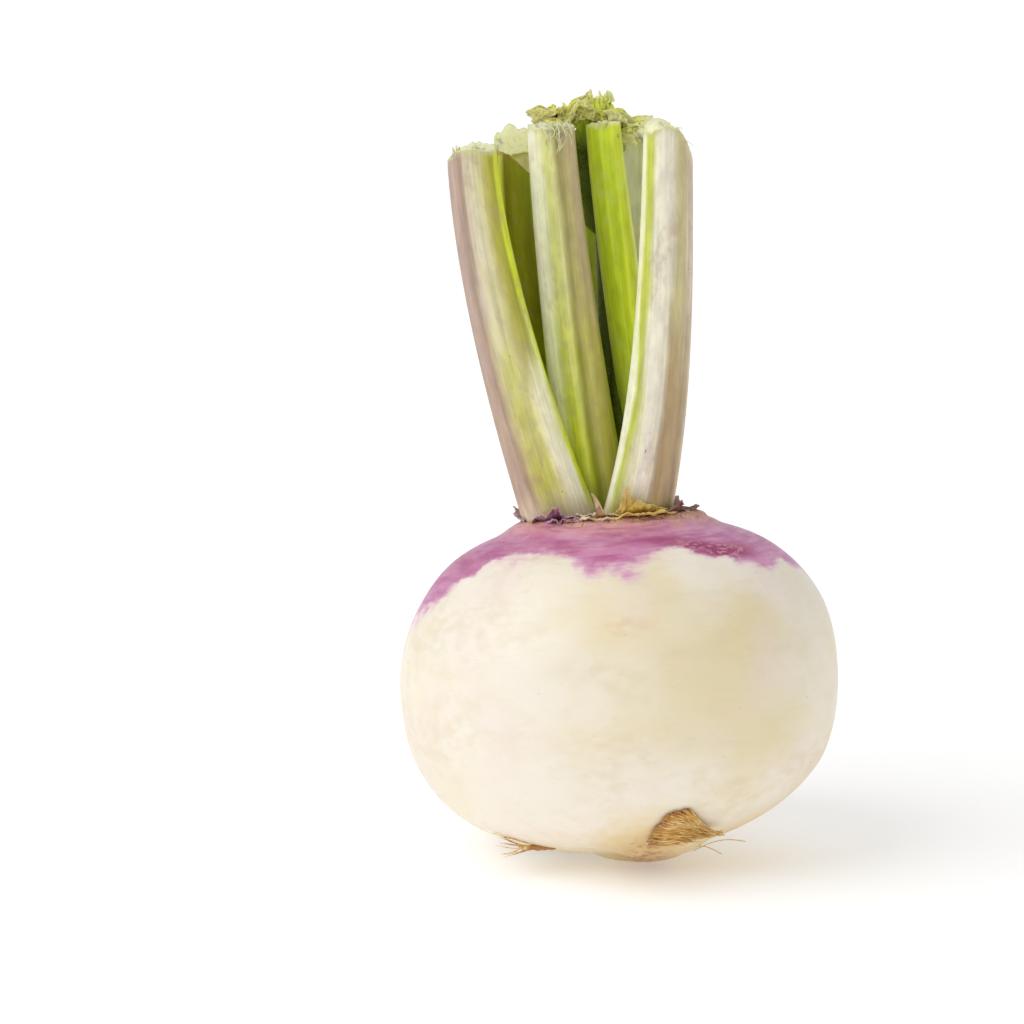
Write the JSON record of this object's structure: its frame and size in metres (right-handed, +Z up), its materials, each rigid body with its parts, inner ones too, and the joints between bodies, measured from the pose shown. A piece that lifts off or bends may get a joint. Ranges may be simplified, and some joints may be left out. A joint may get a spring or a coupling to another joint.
{
  "type": "turnip",
  "caption": "Round purple-topped turnip that stands on its blunt tap root, with leaf stalks cut short above a crown of torn scales, frilled young leaves and dry rootlets.",
  "frame": {"origin": "on the flat spot that the turnip rests on, under the middle of the root", "axes": "+Z up along the stalks, +X to the right and -Y to the front, where the broken tap root shows"},
  "size_m": [0.0765, 0.0759, 0.1308],
  "materials": {
    "turnip_skin": "smooth satin skin, cream below and purple round the shoulder",
    "pale_stalk": "satin ribbed stalk, pale green with a grey-purple flush",
    "green_stalk": "satin ribbed stalk, bright green",
    "young_leaf": "matte crinkled leaf",
    "purple_scale": "satin dark purple skin, dry at the edge",
    "papery_scale": "dry papery tan",
    "dry_rootlet": "dry matte fibre"
  },
  "bodies": {
    "root": {"root": "turnip_skin", "stalk_front_left": "pale_stalk", "stalk_front_right": "pale_stalk", "stalk_centre": "pale_stalk", "stalk_left": "green_stalk", "stalk_back_left": "pale_stalk", "stalk_right": "green_stalk", "stalk_back_right": "pale_stalk", "stalk_back": "green_stalk", "young_leaf_left": "young_leaf", "young_leaf_middle": "young_leaf", "young_leaf_right": "young_leaf", "scale_front_purple": "purple_scale", "scale_front_curl": "papery_scale", "scale_front_papery": "papery_scale", "scale_front_right": "purple_scale", "scale_right": "purple_scale", "scale_back_right": "purple_scale", "scale_back_left": "papery_scale", "scale_left": "purple_scale", "tap_root_fibres": "dry_rootlet", "side_rootlets": "dry_rootlet"}
  },
  "joints": []
}
